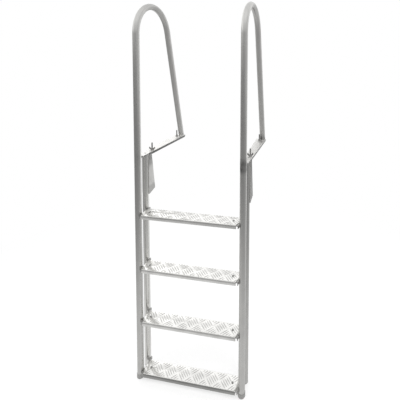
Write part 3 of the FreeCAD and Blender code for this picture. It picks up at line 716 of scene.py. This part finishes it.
# Studs: a flat head under the bearer and a threaded shank.
studShape = {"headThick": 0.0035, "rim": 0.0005, "shoulder": 0.0004, "radius": 0.0040, "clear": 0.0001,
             "pitch": 0.00125, "depth": 0.00068, "around": 24, "perTurn": 6}
threadEnd = 0.0010  # the thread narrows over this height at its upper end


def threadedRings(x, y, low, high, p):
    # Radius - depth * clip(1.25 * wave - 0.12), the wave going from 1 to 0 and back along the helix.
    rows = int((high - low) / p["pitch"] * p["perTurn"]) + 1
    z = np.linspace(low, high, rows)[:, None]
    a = ringAngles(p["around"])
    wave = np.abs(((z / p["pitch"] - a / (2 * np.pi)) % 1.0) * 2 - 1)
    r = p["radius"] - p["depth"] * np.clip(wave * 1.25 - 0.12, 0, 1)
    r = np.minimum(r, p["radius"] - threadEnd + (high - z))
    return np.stack([x + r * np.cos(a), y + r * np.sin(a), np.broadcast_to(z, r.shape)], -1)


def threadedStud(side, spot):
    p = studShape
    low, high = nodeBox(f"stud_{spot}_{side}")
    x, y = (low[0] + high[0]) / 2, (low[1] + high[1]) / 2
    head = (high[0] - low[0]) / 2
    seat = low[2] + p["headThick"]
    profile = [(head - p["rim"], low[2]), (head, low[2] + p["rim"]), (head, seat - p["shoulder"]),
               (head - p["shoulder"], seat), (p["radius"], seat)]
    base = turnedRings(profile, p["around"], (x, y, 0))
    shank = threadedRings(x, y, seat + p["clear"], high[2], p)
    return joinGrids(f"stud_{side}_{spot}", [np.concatenate([base, shank])], metals["steel"], 30.0)


# Wing nuts: a waisted hub, and two ears whose outline is a smooth closed curve, thickest along its middle.
wingNut = {"hub": [(0.0043, 0.0003), (0.0076, 0.0), (0.0080, 0.0004), (0.0080, 0.0016), (0.0076, 0.0022),
                   (0.0070, 0.0040), (0.0066, 0.0062), (0.0063, 0.0082), (0.0059, 0.0092), (0.0052, 0.0096),
                   (0.0046, 0.0095), (0.0043, 0.0090), (0.0043, 0.0003)],
           "ear": [(0.0042, 0.0012), (0.0088, 0.0013), (0.0125, 0.0040), (0.0150, 0.0076), (0.0165, 0.0120),
                   (0.0156, 0.0158), (0.0132, 0.0170), (0.0107, 0.0158), (0.0084, 0.0122), (0.0060, 0.0094),
                   (0.0038, 0.0082), (0.0030, 0.0048)],
           "spine": ((0.0055, 0.0050), (0.0135, 0.0128)), "thick": 0.0020,
           "around": 36, "perSpan": 4, "overRim": (6, 174, 13), "merge": 1e-6,
           "turn": {"front": {"left": 8.0, "right": 21.0}, "rear": {"left": 114.0, "right": 101.0}}}


def closedCurve(controls, perSpan):
    # Catmull-Rom curve through the control points: cubic blend of four neighbours for each span.
    p = np.asarray(controls, float)
    t = np.linspace(0, 1, perSpan, endpoint=False)[:, None]
    spans = []
    for k in range(len(p)):
        a, b, c, d = (p[(k + m) % len(p)] for m in (-1, 0, 1, 2))
        spans.append(0.5 * (2 * b + (c - a) * t + (2 * a - 5 * b + 4 * c - d) * t ** 2
                            + (3 * b - a - 3 * c + d) * t ** 3))
    return np.vstack(spans)


def earRings(side):
    # Rings run from near the ear's middle line on one face, over the rim, to the other face, closed by caps;
    # s = sin w is 1 at the rim, and half the thickness is thick * (1 - s^4)^0.5 * (0.82 + 0.18 * s^2).
    rim = closedCurve(wingNut["ear"], wingNut["perSpan"])
    start, end = (np.array(point) for point in wingNut["spine"])
    axis = end - start
    f = np.clip(((rim - start) @ axis) / (axis @ axis), 0, 1)
    spine = start + f[:, None] * axis
    w = np.radians(np.linspace(*wingNut["overRim"]))
    s = np.sin(w)
    thick = wingNut["thick"] * np.sign(np.cos(w)) * (1 - s ** 4) ** 0.5 * (0.82 + 0.18 * s ** 2)
    flat = spine[None] + s[:, None, None] * (rim - spine)[None]
    y = np.broadcast_to(thick[:, None], flat.shape[:2])
    return np.stack([flat[..., 0] * side, y, flat[..., 1]], -1)


def wingNutPiece(side, spot):
    low, high = nodeBox(f"washer_{spot}_{side}")
    place = np.array([(low[0] + high[0]) / 2, (low[1] + high[1]) / 2, high[2]])
    turn = math.radians(wingNut["turn"][spot][side])
    c, s = math.cos(turn), math.sin(turn)
    spin = np.array([[c, -s, 0], [s, c, 0], [0, 0, 1]])
    ringSets = [turnedRings(wingNut["hub"], wingNut["around"]), earRings(1), earRings(-1)[:, ::-1]]
    ringSets = [rings @ spin.T + place for rings in ringSets]
    # the hub's profile is closed on itself, so the hub needs no caps
    piece = joinGrids(f"wingNut_{side}_{spot}", ringSets, metals["steel"], openFirst=True)
    form = bmesh.new()
    form.from_mesh(piece.data)
    bmesh.ops.remove_doubles(form, verts=form.verts, dist=wingNut["merge"])
    bmesh.ops.recalc_face_normals(form, faces=form.faces)
    form.to_mesh(piece.data)
    form.free()
    return piece


# Screws: a domed head with a cross recess over a threaded shank.
screwShape = {"post": 0.0055, "tread": 0.00575, "headHigh": 0.0030, "radius": 0.0030, "rim": 0.0004,
              "clear": 0.0001, "slotHalf": 0.0009, "slotReach": 0.0031, "recess": 0.0014, "rows": 22,
              "around": 48, "pitch": 0.001, "depth": 0.0005, "perTurn": 5, "smooth": 50.0}
washerEdge = 0.0003


def crossScrewRings(x, y, z, headR, bottom):
    # Head height = headHigh * (0.38 + 0.62 * (1 - rho^2.4)) - recess * cross, rho being 1 at the rim.
    # Narrow and wide are the lesser and the greater distance from the cross's two middle lines.
    p = screwShape
    rho = np.linspace(0.0, 1.0, p["rows"])[1:, None]
    a = ringAngles(p["around"])
    px, py = headR * rho * np.cos(a), headR * rho * np.sin(a)
    dome = p["headHigh"] * (0.38 + 0.62 * (1 - rho ** 2.4))
    narrow, wide = np.minimum(abs(px), abs(py)), np.maximum(abs(px), abs(py))
    cross = (np.clip(1.3 - (narrow / p["slotHalf"]) ** 2, 0, 1)
             * np.clip(1.2 - (wide / p["slotReach"]) ** 4, 0, 1))
    top = np.stack([px + x, py + y, z + dome - p["recess"] * cross], -1)
    profile = [(headR, z + p["clear"]), (headR - p["rim"], z), (p["radius"], z)]
    under = turnedRings(profile, p["around"], (x, y, 0))
    shank = threadedRings(x, y, bottom, z - p["clear"], p)
    return np.concatenate([top, under, shank[::-1]])[::-1]


for side in sides:
    for spot in ("front", "rear"):
        settle(threadedStud(side, spot), "fastener", f"stud_{spot}_{side}")
        settle(wingNutPiece(side, spot), "fastener", f"wing_nut_{spot}_{side}")
        washer = softenedCopy(f"washer_{side}_{spot}", f"washer_{spot}_{side}", washerEdge, metals["washer"])
        settle(washer, "fastener", f"washer_{spot}_{side}")
    low, high = nodeBox(f"post_screw_{side}")
    rings = crossScrewRings(railX[side], postY, plateTop, screwShape["post"], low[2])
    screw = joinGrids(f"postScrew_{side}", [rings], metals["washer"], screwShape["smooth"])
    settle(screw, "fastener", f"post_screw_{side}")
for i in steps:
    low, high = nodeBox(f"tread_screws_{i}")
    y = (low[1] + high[1]) / 2
    headR = screwShape["tread"]
    pair = [crossScrewRings(x, y, treadTop[i], headR, low[2])
            for x in (low[0] + headR, high[0] - headR)]
    screws = joinGrids(f"treadScrews_{i}", pair, metals["screw"], screwShape["smooth"])
    settle(screws, "fastener", f"tread_screws_{i}")
print("studs, wing nuts, washers and screws made")

# Feet: cups turned from a profile with a wide rounded sole; plugs: flat caps with an eased rim.
footShape = {"hollow": 0.55, "flat": 0.002, "sole": 0.0060, "soleHigh": 0.012, "lip": 0.002, "rim": 0.0006,
             "clear": 0.0001, "inside": 0.003, "around": 56}
plugShape = {"hollow": 0.5, "flat": 0.0018, "edge": 0.0014, "clear": 0.0001, "neck": 0.003, "around": 48}
for side in sides:
    p = footShape
    low, high = nodeBox(f"tube_foot_{side}")
    wide = (high[0] - low[0]) / 2
    z0, z1 = low[2], high[2]
    sole, rim, bore = p["sole"], p["rim"], tubeR + p["clear"]
    profile = np.vstack([
        [(wide * p["hollow"], z0), (wide - sole - p["flat"], z0)],
        arcPoints(wide - sole, z0 + sole, sole, -90, 0, 10),
        [(wide, z0 + p["soleHigh"]), (wide, z1 - p["lip"])],
        arcPoints(wide - rim, z1 - rim, rim, 0, 90, 4),
        [(bore, z1), (bore, z1 - p["inside"])]])
    rings = turnedRings(profile, p["around"], (railX[side], tubeY, 0))
    settle(joinGrids(f"tubeFoot_{side}", [rings], metals["foot"]), "foot", f"tube_foot_{side}")

    p = plugShape
    low, high = nodeBox(f"post_plug_{side}")
    z0, z1 = low[2], high[2]
    edge, neck = p["edge"], tubeR - p["neck"]
    profile = np.vstack([
        [(tubeR * p["hollow"], z0), (tubeR - p["flat"], z0)],
        arcPoints(tubeR - edge, z0 + edge, edge, -90, 0, 6),
        [(tubeR, footZ - p["clear"]), (neck, footZ - p["clear"] / 2), (neck, z1)]])
    rings = turnedRings(profile, p["around"], (railX[side], postY, 0))
    settle(joinGrids(f"postPlug_{side}", [rings], metals["foot"]), "foot", f"post_plug_{side}")
print("feet and plugs made")

# Studio levels by direction, as the metals mirror them: darkest in front, brighter to the right, behind, at
# the upper left and overhead. Each span is the pair of direction parts between which a level comes in.
studio = {"front": 0.29, "right": 0.30, "rightLow": 0.08, "backLow": 0.70, "above": 0.50, "zenith": 1.70,
          "backHigh": 1.00, "leftHigh": 0.95, "backLeft": 0.45, "surround": 1.0,
          "rightSpan": (0.45, 1.0), "backSpan": (0.0, 0.75), "upSpan": (0.0, 0.30), "leftSpan": (0.20, 0.80),
          "zenithSpan": (0.45, 0.85)}
floorDisc = {"radius": 9.0, "middleY": 0.1, "drop": 0.0005, "hole": 0.001, "rings": 12, "around": 96,
             "colour": (0.95, 0.95, 0.95), "roughness": 0.9, "meltSpan": (0.5, 2.2), "meltNear": 0.60,
             "near": 0.76, "reach": 1.25, "fall": 3.5}


def mixNode(tree, factor, first, second):
    node = addNode(tree, "Mix", {"data_type": "FLOAT", "B": second}, {"Factor": factor, "A": first})
    return node.outputs["Result"]


def studioLevel(tree, x, y, z=None):
    # Front level plus the greatest of the lifts to the right, to the back and, above the horizon, overhead
    # (times zenith), back and left. Without z it is the floor's level, with a lesser lift to the right.
    toRight = rampNode(tree, x, *studio["rightSpan"], 0.0, studio["rightLow" if z is None else "right"])
    toBack = rampNode(tree, y, *studio["backSpan"])
    lift = mathNode(tree, "MAXIMUM", toRight, times(tree, toBack, studio["backLow"]))
    if z is not None:
        up = rampNode(tree, z, *studio["upSpan"])
        toLeft = rampNode(tree, times(tree, x, -1.0), *studio["leftSpan"])
        gain = rampNode(tree, z, *studio["zenithSpan"], 1.0, studio["zenith"])
        overhead = times(tree, gain, studio["above"])
        back = times(tree, toBack, plus(tree, studio["backHigh"], times(tree, toLeft, studio["backLeft"])))
        for part in (overhead, back, times(tree, toLeft, studio["leftHigh"])):
            lift = mathNode(tree, "MAXIMUM", lift, times(tree, up, part))
    return plus(tree, studio["front"], lift)


# Floor: near the ladder it takes light and shadow; farther out it melts into the white surround.
floorZ = cadBox[0][2] - floorDisc["drop"]
reaches = [floorDisc["radius"] * (k / floorDisc["rings"]) ** 1.5 + floorDisc["hole"]
           for k in range(floorDisc["rings"] + 1)]
floorRings = turnedRings([(reach, floorZ) for reach in reaches], floorDisc["around"],
                         (midX, floorDisc["middleY"], 0))[::-1]
floorMaterial = bpy.data.materials.new("paleFloor")
floorMaterial.use_nodes = True
tree = floorMaterial.node_tree
floorShader = tree.nodes["Principled BSDF"]
floorShader.inputs["Base Color"].default_value = (*floorDisc["colour"], 1)
floorShader.inputs["Roughness"].default_value = floorDisc["roughness"]
floorShader.inputs["Specular IOR Level"].default_value = 0.0
place = addNode(tree, "TexCoord")
centred = addNode(tree, "VectorMath", {"operation": "SUBTRACT", 1: (midX, 0.0, floorZ)},
                  {0: place.outputs["Object"]}).outputs[0]
distance = addNode(tree, "VectorMath", {"operation": "LENGTH"}, {0: centred}).outputs["Value"]
bearing = addNode(tree, "VectorMath", {"operation": "NORMALIZE"}, {0: centred})
bearing = addNode(tree, "SeparateXYZ", None, {0: bearing.outputs[0]})
farLevel = studioLevel(tree, bearing.outputs["X"], bearing.outputs["Y"])
# share of the near level = 1 / (1 + (distance / reach)^fall)
outward = mathNode(tree, "POWER", mathNode(tree, "DIVIDE", distance, floorDisc["reach"]), floorDisc["fall"])
share = mathNode(tree, "DIVIDE", 1.0, plus(tree, 1.0, outward))
rays = addNode(tree, "LightPath")
mirrored = mixNode(tree, share, farLevel, floorDisc["near"])
glowLevel = mixNode(tree, rays.outputs["Is Camera Ray"], mirrored, studio["surround"])
melt = mathNode(tree, "MAXIMUM", rampNode(tree, distance, *floorDisc["meltSpan"], floorDisc["meltNear"]),
                rays.outputs["Is Glossy Ray"])
glow = addNode(tree, "Emission", {"Color": (1, 1, 1, 1)}, {"Strength": glowLevel})
blended = addNode(tree, "MixShader", None, {0: melt, 1: floorShader.outputs[0], 2: glow.outputs[0]})
tree.links.new(blended.outputs[0], tree.nodes["Material Output"].inputs["Surface"])
floorFaces, floorUv = tubeGrid(floorRings, capped=False)
floor = makePiece("studioFloor", floorRings, floorFaces, floorMaterial, floorUv)

# World: white to the camera, and the studio's levels to everything else.
world = bpy.data.worlds.new("softStudio")
bpy.context.scene.world = world
world.use_nodes = True
tree = world.node_tree
place = addNode(tree, "TexCoord")
direction = addNode(tree, "SeparateXYZ", None, {0: place.outputs["Generated"]})
skyLevel = studioLevel(tree, *(direction.outputs[axis] for axis in "XYZ"))
rays = addNode(tree, "LightPath")
background = tree.nodes["Background"]
background.inputs["Color"].default_value = (1, 1, 1, 1)
tree.links.new(mixNode(tree, rays.outputs["Is Camera Ray"], skyLevel, studio["surround"]),
               background.inputs["Strength"])


def standAt(thing, right, up, back, place):
    # The object's three axes and its place are the columns of its matrix.
    columns = np.stack([right, up, back, place], 1)
    thing.matrix_world = Matrix(np.vstack([columns, [0, 0, 0, 1]]).tolist())


lamps = {"softKey": {"place": (1.6, -1.9, 2.6), "aim": (-0.26, 0.0, -0.3), "size": 1.8, "power": 52},
         "softFill": {"place": (-2.4, -1.2, 1.2), "aim": (-0.26, 0.0, -0.4), "size": 1.6, "power": 12}}
for name, lamp in lamps.items():
    light = bpy.data.lights.new(name, "AREA")
    light.shape = "DISK"
    light.size = lamp["size"]
    light.energy = lamp["power"]
    lampObject = bpy.data.objects.new(name, light)
    lampObject.visible_glossy = False
    bpy.context.collection.objects.link(lampObject)
    back = np.subtract(lamp["place"], lamp["aim"])
    back /= np.linalg.norm(back)
    right = np.cross([0, 0, 1.0], back)
    right /= np.linalg.norm(right)
    standAt(lampObject, right, np.cross(back, right), back, lamp["place"])

# Camera: level eye in front and to the right; the frame lies low and left of the lens axis, so it is shifted.
view = {"place": (0.3565, -1.4852, 0.4805), "yaw": 0.1635, "pitch": -0.0642, "roll": 0.0136, "lens": 27.0,
        "shift": (-0.174, -0.287), "sensor": 36.0, "clip": (0.05, 60.0)}
yaw, pitch, roll = view["yaw"], view["pitch"], view["roll"]
forward = np.array([-math.sin(yaw) * math.cos(pitch), math.cos(yaw) * math.cos(pitch), math.sin(pitch)])
levelRight = np.array([math.cos(yaw), math.sin(yaw), 0.0])
above = np.cross(levelRight, forward)
right = math.cos(roll) * levelRight + math.sin(roll) * above
up = math.cos(roll) * above - math.sin(roll) * levelRight
camera = bpy.data.cameras.new("eyeLevel")
camera.sensor_width = view["sensor"]
camera.lens = view["lens"]
camera.shift_x, camera.shift_y = view["shift"]
camera.clip_start, camera.clip_end = view["clip"]
cameraObject = bpy.data.objects.new("eyeLevel", camera)
bpy.context.collection.objects.link(cameraObject)
standAt(cameraObject, right, up, -forward, view["place"])
bpy.context.scene.camera = cameraObject
bpy.context.scene.view_settings.view_transform = "Standard"
print("floor, light and camera set")
